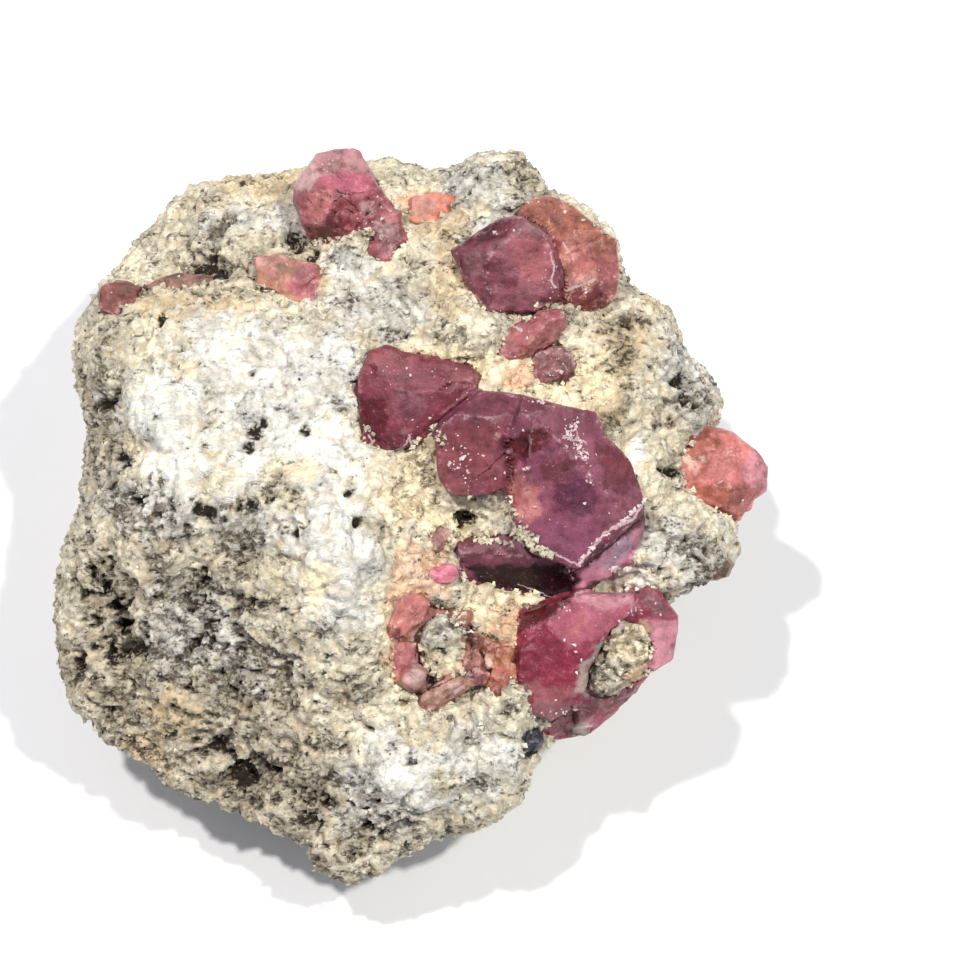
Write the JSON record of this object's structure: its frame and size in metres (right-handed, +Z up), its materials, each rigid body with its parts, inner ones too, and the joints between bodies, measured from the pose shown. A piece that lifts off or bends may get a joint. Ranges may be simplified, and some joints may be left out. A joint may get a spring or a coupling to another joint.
{
  "type": "garnet specimen",
  "caption": "Loose mineral specimen: pink, plum and wine-red garnet crystals grown on a rough lump of pale granular rock, standing on a flat cut",
  "frame": {"origin": "centre of the bounding box's bottom, on the flat cut that the lump stands on", "axes": "+Z up; the display face leans back by 24 degrees and looks up and toward -Y, with +X to its right"},
  "size_m": [0.0632, 0.0648, 0.0396],
  "materials": {
    "matrix": "matte",
    "filling": "matte",
    "grey_filling": "matte",
    "plum": "gloss",
    "wine": "gloss",
    "rose": "gloss",
    "coral": "satin",
    "mauve": "satin",
    "brick": "gloss",
    "shard_pink": "gloss",
    "druse_plum": "satin",
    "coral_pink": "satin",
    "raspberry": "gloss",
    "dull_salmon": "satin",
    "bright_pink": "gloss",
    "rose_grey": "satin",
    "amber": "gloss",
    "apricot": "satin",
    "brown_mauve": "satin",
    "dusty_mauve": "satin",
    "blue_black": "satin",
    "brown": "satin"
  },
  "bodies": {
    "root": {"matrix": "matrix", "hollow_filling": "filling", "ring_filling": "grey_filling", "main_garnet": "plum", "left_garnet": "wine", "top_garnet": "rose", "salmon_garnet": "coral", "purple_garnet": "mauve", "orange_garnet": "brick", "pink_shard": "shard_pink", "plum_druse": "druse_plum", "right_garnet": "coral_pink", "raspberry_garnet": "raspberry", "ring_garnet": "dull_salmon", "pink_bud": "bright_pink", "rose_bud": "rose_grey", "orange_grains": "amber", "wedge_garnet": "apricot", "brown_garnet": "brown_mauve", "edge_garnet": "dusty_mauve", "dark_grain": "blue_black", "brown_bud": "brown"}
  },
  "joints": []
}
